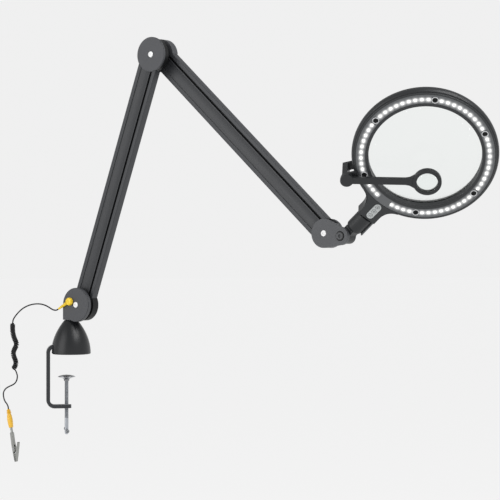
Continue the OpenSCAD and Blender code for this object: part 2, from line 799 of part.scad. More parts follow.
// Turn that puts place number n on the circle of lights.
function place_angle(n) = 180 - (n - neck_place) * led_pitch;
module at_place(n) { rotate([0, 0, place_angle(n)]) translate([led_circle_r, 0, 0]) children(); }
function is_light(n) = len(search(n, concat(screw_places, blank_places))) == 0;
module head_shell() {
    color(shell_dark) ring_frame() difference() {
        union() {
            rotate_extrude($fn = 144) polygon(concat(
                side_arc(4), crown_arc(12, 0),
                [[83.4, ring_h], [79.6, 19], [79.6, 17.2], [83.2, 17.2], [83.2, 8]],
                [[crown_r, 8]], reversed(crown_arc(8, 2.3)), [[rim_r - 2.2, rim_z]]
            ));
            difference() {
                translate([0, 0, rim_z]) linear_extrude(neck_h - rim_z) neck_outline(101);
                translate([0, 0, -1]) cylinder(h = 40, r = neck_cut_r, $fn = 144);
            }
            for (n = screw_places) {
                at_place(n) translate([0, 0, 6]) cylinder(h = ring_h - 8.2, r = 4.3, $fn = 32);
            }
        }
        for (n = screw_places) {
            at_place(n) translate([0, 0, 5]) cylinder(h = 10, r = 1.95, $fn = 32);
        }
        translate([-125, -10, rim_z - 1]) cube([24.5, 20, 3]);
        translate([neck_end_x - neck_len - 1, 0, ring_drop]) {
            rotate([0, 90, 0]) cylinder(h = 13, r = pivot_r + run_gap);
            translate([0, barrel_r + 0.45, -6.05]) cube([tab_end - neck_end_x + 1.05, 9, 9.1]);
        }
    }
}
module keypad_pill(r) {
    translate([keypad_x, keypad_y - r]) rounded_rect(2 * (key_pitch + r), 2 * r, r - 0.02);
}
module head_bezel() {
    color(shell_dark) ring_frame() difference() {
        union() {
            rotate_extrude($fn = 144) polygon([
                [96.6, 0.4], [97.1, 0], [98.3, 0], [98.9, 0.7], [98.9, 2.5], [96.6, 2.5]
            ]);
            rotate_extrude($fn = 144) polygon([
                [79.2, 0], [collar_r, 0], [collar_r, 11], [78.6, 11], [78.8, 0.4]
            ]);
            difference() {
                linear_extrude(2.5) neck_outline(rim_r - 0.4);
                translate([0, 0, -1]) cylinder(h = 9, r = neck_cut_r, $fn = 144);
            }
            for (n = screw_places) {
                rotate([0, 0, place_angle(n)]) translate([82, -4.2, 2.2]) cube([16, 8.4, 0.3]);
                rotate([0, 0, place_angle(n)]) translate([82, -4.2, 2.2]) cube([14.4, 8.4, 2.1]);
            }
        }
        for (n = screw_places) {
            at_place(n) cylinder(h = 9, r = 2.1, $fn = 32);
        }
        translate([0, 0, -1]) linear_extrude(5) keypad_pill(keypad_r + 0.2);
    }
}
module circuit_boards() {
    color([0.10, 0.30, 0.18]) ring_frame() {
        difference() {
            translate([0, 0, 4.4]) cylinder(h = 1.4, r = 96.2, $fn = 144);
            translate([0, 0, 4]) cylinder(h = 3, r = 84.8, $fn = 144);
            for (n = screw_places) {
                at_place(n) cylinder(h = 9, r = 2.4, $fn = 32);
            }
        }
        translate([-124, -9, 2.9]) cube([23, 18, 1.3]);
    }
}
module leds() {
    color([1, 1, 0.96]) ring_frame() for (n = [0 : led_count - 1]) {
        if (is_light(n)) {
            at_place(n) translate([0, 0, 0.35]) cylinder(h = 4.05, r = led_r, $fn = 32);
        }
    }
}
module led_band() {
    color([0.42, 0.43, 0.44]) ring_frame() difference() {
        union() {
            translate([0, 0, 0.5]) difference() {
                cylinder(h = 1.6, r = 96.5, $fn = 144);
                translate([0, 0, -1]) cylinder(h = 4, r = 82.9, $fn = 144);
            }
            for (n = screw_places) {
                at_place(n) translate([0, 0, 0.2]) cylinder(h = 1, r = 5.2, $fn = 32);
            }
        }
        for (n = [0 : led_count - 1]) {
            if (is_light(n)) {
                at_place(n) cylinder(h = 9, r = led_r + 0.1, $fn = 32);
            }
        }
        for (n = screw_places) {
            at_place(n) cylinder(h = 9, r = 3.8, $fn = 32);
        }
    }
}
module ring_screws() {
    color(black) ring_frame() for (n = screw_places) {
        at_place(n) difference() {
            union() {
                translate([0, 0, 1]) cylinder(h = 1.2, r = 3.5, $fn = 32);
                translate([0, 0, 2]) cylinder(h = 10, r = 1.9, $fn = 32);
            }
            cylinder(h = 1.8, r = 1.5, $fn = 6);
        }
    }
}
// Biconvex lens of radius r and edge thickness t, centred on z.
module convex_lens(r, curve, t, z) {
    sag = curve - sqrt(curve * curve - r * r);
    translate([0, 0, z]) intersection() {
        translate([0, 0, -curve + sag + t / 2]) sphere(r = curve, $fn = 240);
        translate([0, 0, curve - sag - t / 2]) sphere(r = curve, $fn = 240);
        translate([0, 0, -30]) cylinder(h = 60, r = r, $fn = 144);
    }
}
module main_lens() {
    color([0.85, 0.92, 0.95, 0.3]) ring_frame() convex_lens(lens_r, lens_curve, 3, lens_z);
}
module lens_gasket() {
    color(black) ring_frame() for (z = [11.05, 15.85]) {
        translate([0, 0, z]) difference() {
            cylinder(h = z < 12 ? 1.1 : 1.3, r = 82.6, $fn = 144);
            translate([0, 0, -1]) cylinder(h = 4, r = 80.2, $fn = 144);
        }
    }
}
module at_key(k) { translate([keypad_x + k * key_pitch, keypad_y, 0]) children(); }
module keypad_plate() {
    color([0.78, 0.79, 0.80]) ring_frame() difference() {
        translate([0, 0, -0.7]) linear_extrude(3.1) keypad_pill(keypad_r);
        for (k = [-1 : 1]) {
            at_key(k) translate([0, 0, -2]) cylinder(h = 6, r = key_r + 0.3);
        }
    }
}
module key_button(k) {
    color([0.70, 0.71, 0.72]) ring_frame() at_key(k) translate([0, 0, -1.2]) {
        cylinder(h = 3.2, r = key_r);
    }
}
module power_button() { key_button(-1); }
module dim_button() { key_button(0); }
module mode_button() { key_button(1); }

// ---- second lens ----
module clip_block(x0, x1, z0, z1) {
    translate([x0, -clip_half_w, z0]) cube([x1 - x0, 2 * clip_half_w, z1 - z0]);
}
module lens_clip() {
    color(shell_dark) clip_frame() difference() {
        union() {
            clip_block(clip_x0, clip_x1, -8.6, 31);
            clip_block(89, clip_x1, 27, 31);
            clip_block(96.9, clip_x1, -5, -0.6);
            translate([swing_r, 0, -8.6]) cylinder(h = 4, r = 8.5);
        }
        translate([swing_r, 0, -10]) cylinder(h = 7.4, r = 2);
    }
}
module swing_arm() {
    ring_in = small_lens_r - 1;
    ring_out = small_lens_r + 4.2;
    ring_low = -16;
    ring_top = -8.2;
    half_w = 4.8;
    color(shell_dark) swing_frame() difference() {
        union() {
            translate([0, 0, -14.6]) cylinder(h = 5.6, r = 9.2);
            translate([0, -half_w, -14.2]) cube([swing_len - small_lens_r, 2 * half_w, 4.8]);
            translate([0, 0, -14.2]) linear_extrude(4.8) polygon([
                [swing_len - 30, half_w], [swing_len - 24, 6], [swing_len - 17, 10.4],
                [swing_len - 17, -10.4], [swing_len - 24, -6], [swing_len - 30, -half_w]
            ]);
            translate([swing_len, 0, 0]) rotate_extrude() polygon([
                [ring_in, ring_low + 0.5], [ring_in + 0.5, ring_low], [ring_out - 1, ring_low],
                [ring_out, ring_low + 1], [ring_out, ring_top - 1], [ring_out - 1, ring_top],
                [ring_in + 0.5, ring_top], [ring_in, ring_top - 0.5]
            ]);
        }
        translate([swing_len, 0, -20]) cylinder(h = 20, r = ring_in - 0.1);
        translate([swing_len, 0, -12.7]) cylinder(h = 1.8, r = small_lens_r + 0.02);
        translate([0, 0, -13.2]) cylinder(h = 9, r = 2 + run_gap);
    }
}
module small_lens() {
    color([0.85, 0.92, 0.95, 0.3]) swing_frame() translate([swing_len, 0, 0]) {
        intersection() {
            convex_lens(small_lens_r, 60, 1.7, -11.8);
            translate([0, 0, -20]) union() {
                cylinder(h = 20, r = small_lens_r - 1.12);
                translate([0, 0, 7.3]) cylinder(h = 1.8, r = small_lens_r);
            }
        }
    }
}
module swing_pin() { color(steel) clip_frame() translate([swing_r, 0, -13]) cylinder(h = 9.9, r = 2); }

clamp_bar();
base_cover();
base_core();
base_pad();
post_bush();
base_screws();
clamp_bush();
pressure_plate();
clamp_screw();
tommy_bar();
swivel_post();
shoulder_bracket();
shoulder_cap();
shoulder_bolt();
shoulder_nut();
esd_snap();
cord_boot();
cord_lead();
cord_coil();
cord_tail();
clip_grip();
croc_body();
croc_pin();
croc_jaw();
lower_foot();
lower_profile();
lower_spring();
elbow_disc();
elbow_core();
elbow_bolt();
elbow_cap();
elbow_nut();
cable_gland();
upper_root();
upper_profile();
upper_spring();
upper_tip();
wrist_bracket();
wrist_pins();
wrist_cap();
tilt_knob();
tilt_barrel();
neck_pin();
neck_tab();
head_shell();
head_bezel();
circuit_boards();
leds();
led_band();
ring_screws();
main_lens();
lens_gasket();
keypad_plate();
power_button();
dim_button();
mode_button();
lens_clip();
swing_arm();
small_lens();
swing_pin();
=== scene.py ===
"""Looks of a ring-lit magnifying lamp with a table clamp and a curly ground cord.

Everything is in metres, in the CAD model's frame. Places come from the CAD
model's nodes and joints, and the few sizes that it does not carry are named
where they are used: in millimetres times MM, or in plain millimetres where a
whole profile, route or mark is scaled at once.
"""

import json
from math import cos, pi, radians, sin, tau

import bpy
from mathutils import Matrix, Vector


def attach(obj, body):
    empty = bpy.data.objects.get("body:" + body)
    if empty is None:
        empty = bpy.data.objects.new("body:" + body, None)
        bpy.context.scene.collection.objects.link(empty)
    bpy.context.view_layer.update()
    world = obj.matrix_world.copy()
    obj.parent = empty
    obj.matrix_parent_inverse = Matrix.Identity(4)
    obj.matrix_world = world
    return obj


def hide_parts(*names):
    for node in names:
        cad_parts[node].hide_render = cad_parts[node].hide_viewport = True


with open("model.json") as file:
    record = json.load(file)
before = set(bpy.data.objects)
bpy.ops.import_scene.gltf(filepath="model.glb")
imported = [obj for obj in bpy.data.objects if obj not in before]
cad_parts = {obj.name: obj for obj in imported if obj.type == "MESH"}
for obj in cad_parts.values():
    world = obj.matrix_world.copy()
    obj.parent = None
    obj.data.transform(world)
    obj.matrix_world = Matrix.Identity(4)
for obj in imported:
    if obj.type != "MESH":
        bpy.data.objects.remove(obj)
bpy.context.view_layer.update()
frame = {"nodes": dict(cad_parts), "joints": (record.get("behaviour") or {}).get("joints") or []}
nodes = frame["nodes"]
joints = {joint["name"]: joint for joint in frame["joints"]}
MM = 0.001


# ---- camera ----
CAMERA_AT = (-0.1656, -2.903, 0.1638)
CAMERA_TURN = -8.83  # degrees about Z, from looking level along Y
CAMERA_LENS = 132.25  # millimetres, for a sensor 36 wide


def make_camera():
    camera = bpy.data.objects.new("camera", bpy.data.cameras.new("camera"))
    bpy.context.scene.collection.objects.link(camera)
    camera.data.sensor_width = 36
    camera.data.lens = CAMERA_LENS
    camera.data.clip_end = 60
    camera.location = CAMERA_AT
    camera.rotation_euler = (radians(90), 0, radians(CAMERA_TURN))
    bpy.context.scene.camera = camera


# ---- frames of the CAD model ----
def frame_of(origin, x_axis, z_axis):
    """Matrix of a frame with this origin and these two axes."""
    x_axis, z_axis = Vector(x_axis).normalized(), Vector(z_axis).normalized()
    y_axis = z_axis.cross(x_axis)
    turn = Matrix((x_axis, y_axis, z_axis)).transposed().to_4x4()
    return Matrix.Translation(Vector(origin)) @ turn


NECK_LEN = 173.7 * MM  # tilt axis to the centre of the lens ring
RING_DROP = 10 * MM  # neck axis above the light side of the ring
PLATE_TOP = -32.2 * MM  # crown of the clamp screw's pressure plate

depth_axis = Vector(joints["shoulder"]["axis"])
reach_axis = depth_axis.cross(Vector((0, 0, 1)))
arm_plane = frame_of((0, 0, 0), reach_axis, (0, 0, 1))
neck_axis = Vector(joints["head_twist"]["axis"])
ring_axis = Vector(joints["power_press"]["axis"])
ring_centre = (
    Vector(joints["head_twist"]["pos_m"]) + neck_axis * NECK_LEN - ring_axis * RING_DROP
)
ring = frame_of(ring_centre, neck_axis, ring_axis)
elbow_at = Vector(joints["elbow"]["pos_m"])
shoulder_at = Vector(joints["shoulder"]["pos_m"])
wrist_at = Vector(joints["wrist_pitch"]["pos_m"])
tilt_at = Vector(joints["head_tilt"]["pos_m"])


# ---- mesh helpers ----
def add_mesh(name, points, faces, body, place=Matrix(), sharp=35):
    """A mesh piece that rides on a body, smooth except at edges sharper than an angle."""
    mesh = bpy.data.meshes.new(name)
    mesh.from_pydata([place @ Vector(p) for p in points], [], faces)
    mesh.validate()
    mesh.polygons.foreach_set("use_smooth", [True] * len(mesh.polygons))
    mesh.set_sharp_from_angle(angle=radians(sharp))
    piece = bpy.data.objects.new(name, mesh)
    bpy.context.scene.collection.objects.link(piece)
    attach(piece, body)
    return piece


def lathe(profile, sides):
    """Points and faces of a profile [(r, z), ...], given upwards, turned about Z."""
    points, rings = [], []
    for r, z in profile:
        if r == 0:
            rings.append([len(points)])
            points.append((0, 0, z))
        else:
            rings.append([len(points) + k for k in range(sides)])
            points += [
                (r * cos(tau * k / sides), r * sin(tau * k / sides), z) for k in range(sides)
            ]
    faces = []
    for low, high in zip(rings, rings[1:]):
        for k in range(sides):
            j = (k + 1) % sides
            corners = [
                low[k % len(low)], low[j % len(low)], high[j % len(high)], high[k % len(high)]
            ]
            face = list(dict.fromkeys(corners))
            if len(face) > 2:
                faces.append(face)
    return points, faces


def arc(centre, radius, first, last, steps):
    """Points of an arc in the profile plane, angles in degrees."""
    turns = [radians(first + (last - first) * k / steps) for k in range(steps + 1)]
    return [(centre[0] + radius * cos(a), centre[1] + radius * sin(a)) for a in turns]


def joined(parts):
    """One set of points and faces from several (points, faces, place)."""
    points, faces = [], []
    for some_points, some_faces, place in parts:
        start = len(points)
        points += [tuple(place @ Vector(p)) for p in some_points]
        faces += [[start + i for i in face] for face in some_faces]
    return points, faces


def in_mm(profile):
    return [(r * MM, z * MM) for r, z in profile]


# ---- ground cord ----
# In the arm plane: along reach_axis, and up. The cord lies CORD_DEPTH along depth_axis.
CORD_DEPTH = -15
WIRE_R = 1.1
CURL_R = 4.2
CURL_PITCH = 2.25
CURL_STEP = 22.5  # degrees of a turn from one point of the wire to the next
CURL_OPENING = 0.8  # turns that the coil takes to open out to its full radius
BEND_GIVE = 0.4  # share of the coil's radius inside a bend that its pitch gives way to
BEND_LEAST = 0.7  # the pitch grows by no more than one over this
LEAD_ROUTE = [
    (-13, 71), (-18, 69), (-25, 69.8), (-32, 72.8), (-40, 76), (-50, 78), (-60, 78.2),
    (-70, 77), (-80, 74.4), (-90, 70), (-98, 64.6), (-105, 58.4), (-110, 52.4), (-111.8, 46),
]
COIL_ROUTE = [
    (-111.6, 46), (-111.6, 39), (-111.2, 32.3), (-109.5, 26), (-107, 20.7), (-104, 16),
    (-103.4, 11.3), (-106, 7), (-108.8, 2.6), (-110, -2.7), (-108, -8.6), (-104.9, -14),
    (-104.6, -19), (-106.8, -23.2), (-110, -26.4),
]
TAIL_ROUTE = [
    (-105.8, -28.6), (-103.4, -32.2), (-101.4, -37.7), (-102.4, -44.3), (-106, -49.2),
    (-111.7, -52.7), (-119.5, -55.6), (-126.6, -59.3), (-131, -64.2), (-132, -69.3),
    (-130.5, -76), (-127.6, -80.6), (-123.8, -84.3), (-121.6, -88.2), (-121, -92),
]


def smooth_route(route, steps):
    """The CAD route's own smooth curve through its points, in the arm plane."""
    points = [Vector(p) for p in route]
    last = len(points) - 1
    made = []
    for i in range(last):
        a, b = points[max(i - 1, 0)], points[i]
        c, d = points[i + 1], points[min(i + 2, last)]
        for k in range(steps):
            t = k / steps
            bend = (2 * a - 5 * b + 4 * c - d) * t * t + (3 * b - a - 3 * c + d) * t**3
            made.append(0.5 * (2 * b + (c - a) * t + bend))
    return made + [points[last]]


def curl(route):
    """Points of the curly part: turns side by side, ending where the tail leaves its side.

    The turns open out from the wire's own line at the start, and their pitch grows a
    little in the bends, where the inner sides of the turns meet.
    """
    line = smooth_route(route, 40)
    spread = CURL_R - WIRE_R
    made = []
    turned = 0.0  # angle of the next point
    due = 0.0  # angle turned up to the start of this stretch of the line
    gone = 0.0  # length up to there
    for i in range(1, len(line) - 1):
        before, after = line[i] - line[i - 1], line[i + 1] - line[i]
        bend = abs(before.angle(after)) / before.length
        pitch = CURL_PITCH / max(1 - BEND_GIVE * spread * bend, BEND_LEAST)
        turn = tau * before.length / pitch
        heading = (before + after).normalized()
        side = Vector((-heading.y, heading.x))
        while turned <= due + turn:
            share = (turned - due) / turn
            here = line[i - 1].lerp(line[i], share)
            along = gone + before.length * share
            swing = spread * min(1, along / (CURL_OPENING * CURL_PITCH)) ** 0.5
            flat = here + side * swing * cos(turned)
            made.append((flat.x, CORD_DEPTH + swing * sin(turned), flat.y))
            turned += radians(CURL_STEP)
        due += turn
        gone += before.length
    leave = Vector((TAIL_ROUTE[0][0], CORD_DEPTH, TAIL_ROUTE[0][1]))
    last_turn = range(len(made) - round(360 / CURL_STEP), len(made))
    last = min(last_turn, key=lambda i: (Vector(made[i]) - leave).length)
    return made[: last + 1]


def cord_points():
    """The wire's middle from the boot to the clip's handle, in the CAD model's frame."""
    lead = [(p.x, CORD_DEPTH, p.y) for p in smooth_route(LEAD_ROUTE, 5)]
    tail = [(p.x, CORD_DEPTH, p.y) for p in smooth_route(TAIL_ROUTE, 5)]
    return [arm_plane @ (Vector(p) * MM) for p in lead[:-1] + curl(COIL_ROUTE) + tail]


def make_cord(material):
    points = cord_points()
    curve = bpy.data.curves.new("ground_cord", "CURVE")
    curve.dimensions = "3D"
    curve.bevel_depth = WIRE_R * MM
    curve.bevel_resolution = 3
    curve.use_fill_caps = True
    spline = curve.splines.new("POLY")
    spline.points.add(len(points) - 1)
    for spot, p in zip(spline.points, points):
        spot.co = (*p, 1)
    spline.use_smooth = True
    cord = bpy.data.objects.new("ground_cord", curve)
    bpy.context.scene.collection.objects.link(cord)
    cord.data.materials.append(material)
    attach(cord, "swivel")
    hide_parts("cord_lead", "cord_coil", "cord_tail")


# ---- shader helpers ----
def add(tree, kind, settings=None, **inputs):
    """A shader node. An input is a plain value or another node's output."""
    node = tree.nodes.new("ShaderNode" + kind)
    for key, value in (settings or {}).items():
        setattr(node, key, value)
    for key, value in inputs.items():
        socket = node.inputs[key.replace("_", " ")]
        if isinstance(value, bpy.types.NodeSocket):
            tree.links.new(value, socket)
        else:
            socket.default_value = value
    return node


def calc(tree, operation, *values):
    """A Math node's result, from plain values or other nodes' outputs."""
    node = add(tree, "Math", {"operation": operation})
    for socket, value in zip(node.inputs, values):
        if isinstance(value, bpy.types.NodeSocket):
            tree.links.new(value, socket)
        else:
            socket.default_value = value
    return node.outputs[0]


def hypotenuse(tree, x, y):
    """The square root of x squared plus y squared."""
    squares = calc(tree, "ADD", calc(tree, "MULTIPLY", x, x), calc(tree, "MULTIPLY", y, y))
    return calc(tree, "SQRT", squares)


def multiplied(tree, one, other):
    """Two colours, or greys, multiplied."""
    node = add(tree, "MixRGB", {"blend_type": "MULTIPLY"}, Fac=1.0, Color1=one, Color2=other)
    return node.outputs[0]


def distance_along(tree, origin, axis):
    """How far the shaded point lies from origin along axis, in the CAD model's frame."""
    space = add(tree, "TexCoord").outputs["Object"]
    offset = add(tree, "VectorMath", {"operation": "SUBTRACT"})
    tree.links.new(space, offset.inputs[0])
    offset.inputs[1].default_value = origin
    dot = add(tree, "VectorMath", {"operation": "DOT_PRODUCT"})
    tree.links.new(offset.outputs[0], dot.inputs[0])
    dot.inputs[1].default_value = axis
    return dot.outputs["Value"]


def ramp(tree, value, stops, interpolation="LINEAR"):
    """A grey ColorRamp's output; stops are (position, grey)."""
    node = add(tree, "ValToRGB", Fac=value)
    node.color_ramp.interpolation = interpolation
    elements = node.color_ramp.elements
    while len(elements) < len(stops):
        elements.new(0.5)
    for element, (at, grey) in zip(elements, sorted(stops)):
        element.position = at
        element.color = (grey, grey, grey, 1)
    return node.outputs[0]


def scaled(color, factor):
    return (*[min(1, c * factor) for c in color], 1)


def new_material(name):
    material = bpy.data.materials.new(name)
    material.use_nodes = True
    tree = material.node_tree
    tree.nodes.clear()
    return material, tree


def surface(
    name,
    color,
    roughness,
    metallic=0.0,
    specular=0.5,
    grain=1500,
    bump=0.15,
    cloud=0.10,
    edge=0.0008,
    scuff_and_painted_light=None,
    edge_tint_strength=0.5,
    along=None,
    stretch=30,
    coat=0.0,
    shade=None,
    glow=None,
):
    """A finished surface: cloudy colour, fine grain, softened edges, and tinted edges.

    along is the direction that the grain is drawn out in, by the factor stretch.
    The edge colour, mixed in by the given amount, makes paler scuffed edges; on the head it
    also stands for a painted highlight, and the clip's dark edges are painted shade.
    shade makes a grey of painted shade and painted reflection that multiplies the colour,
    and glow one that it gives off as painted light.
    """
    material, tree = new_material(name)
    space = add(tree, "TexCoord").outputs["Object"]
    drawn = space
    if along is not None:
        turn = Vector(along).to_track_quat("X", "Z").inverted().to_euler()
        turned = add(tree, "Mapping", Vector=space, Rotation=turn).outputs[0]
        drawn = add(tree, "Mapping", Vector=turned, Scale=(1 / stretch, 1, 1)).outputs[0]
    fine = add(tree, "TexNoise", Vector=drawn, Scale=grain, Detail=3.0, Roughness=0.6)
    broad = add(tree, "TexNoise", Vector=drawn, Scale=34.0, Detail=4.0, Roughness=0.6)
    tone = add(
        tree,
        "MixRGB",
        Fac=broad.outputs[0],
        Color1=scaled(color, 1 - cloud),
        Color2=scaled(color, 1 + cloud),
    ).outputs[0]
    if shade is not None:
        tone = multiplied(tree, tone, shade(tree))
    rounded = add(tree, "Bevel", {"samples": 4}, Radius=edge).outputs[0]
    # Edge colour: paler scuffed edges; the head's are partly a painted highlight, and the clip's
    # dark edges are painted shade.
    if scuff_and_painted_light is not None:
        true_normal = add(tree, "NewGeometry").outputs["Normal"]
        match = add(tree, "VectorMath", {"operation": "DOT_PRODUCT"})
        tree.links.new(rounded, match.inputs[0])
        tree.links.new(true_normal, match.inputs[1])
        edge_share = add(
            tree,
            "MapRange",
            Value=match.outputs["Value"],
            From_Min=0.97,
            From_Max=0.72,
            To_Min=0.0,
            To_Max=edge_tint_strength,
        ).outputs[0]
        patch = add(tree, "TexNoise", Vector=space, Scale=160.0, Detail=3.0)
        amount = calc(tree, "MULTIPLY", edge_share, patch.outputs[0])
        tone = add(tree, "MixRGB", Fac=amount, Color1=tone, Color2=(*scuff_and_painted_light, 1)).outputs[0]
    rough = add(
        tree,
        "MapRange",
        Value=fine.outputs[0],
        From_Min=0.3,
        From_Max=0.7,
        To_Min=roughness - 0.05,
        To_Max=roughness + 0.06,
    ).outputs[0]
    normal = add(
        tree,
        "Bump",
        Height=fine.outputs[0],
        Strength=bump,
        Distance=0.00012,
        Normal=rounded,
    ).outputs[0]
    shader = add(
        tree,
        "BsdfPrincipled",
        Base_Color=tone,
        Roughness=rough,
        Metallic=metallic,
        Specular_IOR_Level=specular,
        Coat_Weight=coat,
        Normal=normal,
    )
    if glow is not None:
        tree.links.new(glow(tree), shader.inputs["Emission Color"])
        shader.inputs["Emission Strength"].default_value = 1.0
    output = add(tree, "OutputMaterial")
    tree.links.new(shader.outputs[0], output.inputs[0])
    return material


LENS_BODY = 0.12  # share of a lens's glass that refracts and reflects


def lens_glass(name, tint):
    """Polished glass with a very faint film, clear but for LENS_BODY of it."""
    material, tree = new_material(name)
    space = add(tree, "TexCoord").outputs["Object"]
    film = add(tree, "TexNoise", Vector=space, Scale=9.0, Detail=3.0).outputs[0]
    rough = add(
        tree, "MapRange", Value=film, From_Min=0.4, From_Max=0.8, To_Min=0.0, To_Max=0.012
    ).outputs[0]
    shader = add(
        tree,
        "BsdfPrincipled",
        Base_Color=(*tint, 1),
        Roughness=rough,
        IOR=1.5,
        Specular_IOR_Level=0.12,
        Transmission_Weight=1.0,
    )
    clear = add(tree, "BsdfTransparent", Color=(*tint, 1))
    both = add(tree, "MixShader", Fac=LENS_BODY)
    tree.links.new(clear.outputs[0], both.inputs[1])
    tree.links.new(shader.outputs[0], both.inputs[2])
    output = add(tree, "OutputMaterial")
    tree.links.new(both.outputs[0], output.inputs[0])
    return material


# ---- the circle of lights ----
LED_PLACES = 62
LED_CIRCLE = 89 * MM
NECK_PLACE = 46.5
SCREW_PLACES = (0, 11, 21, 31, 41, 52)
BLANK_PLACES = (46, 47)
SPILL_REACH = 9.0  # millimetres round a light that the ramp of its spilt light spans
SPILL_ALONG = 0.74  # how fast spilt light falls along the circle
SPILL_ACROSS = 1.1  # and across it
LENS_CORE = 0.5  # millimetres from a light's middle where its glow begins to fall
LENS_EDGE = 2.9  # and where it has fallen to its rim


def place_distance(tree):
    """Millimetres to the nearest place on the circle, and the place number over their count.

    The distance is drawn out along the circle, as neighbouring lights' spilt light is.
    """
    x = distance_along(tree, ring_centre, ring.col[0].to_3d())
    y = distance_along(tree, ring_centre, ring.col[1].to_3d())
    out = hypotenuse(tree, x, y)
    turn = calc(tree, "DIVIDE", calc(tree, "SUBTRACT", pi, calc(tree, "ARCTAN2", y, x)), tau)
    share = calc(tree, "FRACT", calc(tree, "ADD", turn, NECK_PLACE / LED_PLACES))
    place = calc(tree, "MULTIPLY", share, float(LED_PLACES))
    off = calc(tree, "SUBTRACT", place, calc(tree, "ROUND", place))
    side = calc(tree, "MULTIPLY", off, SPILL_ALONG * tau / LED_PLACES * LED_CIRCLE)
    beyond = calc(tree, "MULTIPLY", calc(tree, "SUBTRACT", out, LED_CIRCLE), SPILL_ACROSS)
    return calc(tree, "MULTIPLY", hypotenuse(tree, side, beyond), 1 / MM), share


def lit(name, color, core, rim):
    """A light's lens: its glow falls from core in the middle to rim at its edge."""
    material, tree = new_material(name)
    space = add(tree, "TexCoord").outputs["Object"]
    grain = add(tree, "TexNoise", Vector=space, Scale=900.0, Detail=2.0).outputs[0]
    tone = add(
        tree, "MixRGB", Fac=grain, Color1=scaled(color, 0.92), Color2=(*color, 1)
    ).outputs[0]
    near, _ = place_distance(tree)
    strength = add(
        tree,
        "MapRange",
        {"interpolation_type": "SMOOTHSTEP"},
        Value=near,
        From_Min=LENS_CORE,
        From_Max=LENS_EDGE,
        To_Min=core,
        To_Max=rim,
    ).outputs[0]
    shader = add(
        tree,
        "BsdfPrincipled",
        Base_Color=(0.5, 0.5, 0.48, 1),
        Roughness=0.3,
        Emission_Color=tone,
        Emission_Strength=strength,
    )
    output = add(tree, "OutputMaterial")
    tree.links.new(shader.outputs[0], output.inputs[0])
    return material


def painted_spill_glow(tree):
    """Painted spill light: the cover glows round each lit place, none at the screws and blanks.
    """
    near, share = place_distance(tree)
    spill = ramp(tree, calc(tree, "DIVIDE", near, SPILL_REACH),
                 [(0.30, 0.50), (0.37, 0.42), (0.45, 0.17), (0.56, 0.06), (0.7, 0.0)])
    stops = [(0.0, 0)]
    dark = sorted((*SCREW_PLACES, *BLANK_PLACES))
    for number in range(LED_PLACES):
        grey = 0 if number in dark else 1
        if grey != stops[-1][1]:
            stops.append(((number - 0.5) / LED_PLACES, grey))
    stops.append(((LED_PLACES - 0.5) / LED_PLACES, 0))
    return multiplied(tree, spill, ramp(tree, share, stops, "CONSTANT"))


# ---- materials ----
lower_run = elbow_at - shoulder_at
upper_run = wrist_at - elbow_at


def arm_painted_shade(origin, run, side):
    """Painted shade over an arm's section: a darker dish and groove, where shade falls in them,
    between paler flanges.
    """
    across = run.cross(depth_axis).normalized() * -side
    width = 40  # millimetres that the ramp spans, with the arm's axis in its middle

    def shade(tree):
        at = distance_along(tree, origin, across)
        at = calc(tree, "ADD", calc(tree, "DIVIDE", at, width * MM), 0.5)
        # Painted shade: the dish and the groove are darkened, and the flanges are left at full
        # colour.
        spots = [(-17.7, 1.0), (-11.6, 1.0), (-11, 0.72), (-2, 0.86), (6.6, 0.72),
                 (7.1, 1.0), (8.2, 1.0), (8.4, 0.35), (12, 0.35), (12.2, 1.0)]
        return ramp(tree, at, [(x / width + 0.5, grey) for x, grey in spots])

    return shade


def knob_painted_shade(tree):
    """Painted shade: a dark crescent on the tilt knob and its recess, in the gap between them,
    open towards the arm.
    """
    span = 10 * MM
    x = distance_along(tree, tilt_at, reach_axis)
    z = distance_along(tree, tilt_at, (0, 0, 1))
    circle = ramp(tree, calc(tree, "DIVIDE", hypotenuse(tree, x, z), span),
                  [(0.42, 0.0), (0.50, 1.0), (0.68, 1.0), (0.74, 0.0)])
    open_side = ramp(tree, calc(tree, "ADD", calc(tree, "DIVIDE", x, span), 0.5),
                     [(0.0, 0.0), (0.02, 0.0), (0.12, 1.0)])
    dark = calc(tree, "MULTIPLY", circle, open_side)
    return calc(tree, "SUBTRACT", 1.0, calc(tree, "MULTIPLY", dark, 0.85))


def plate_painted_reflection(tree):
    """Painted reflection: bands of a dark studio as the flared plate would mirror them, dark on
    its top and its throat.
    """
    span = 8 * MM
    depth = distance_along(tree, (0, 0, PLATE_TOP), (0, 0, -1))
    return ramp(tree, calc(tree, "DIVIDE", depth, span),
                [(0.0, 0.10), (0.2, 0.12), (0.29, 1.0), (0.46, 1.0), (0.56, 0.25),
                 (0.72, 0.9), (0.9, 0.35), (1.0, 0.6)])


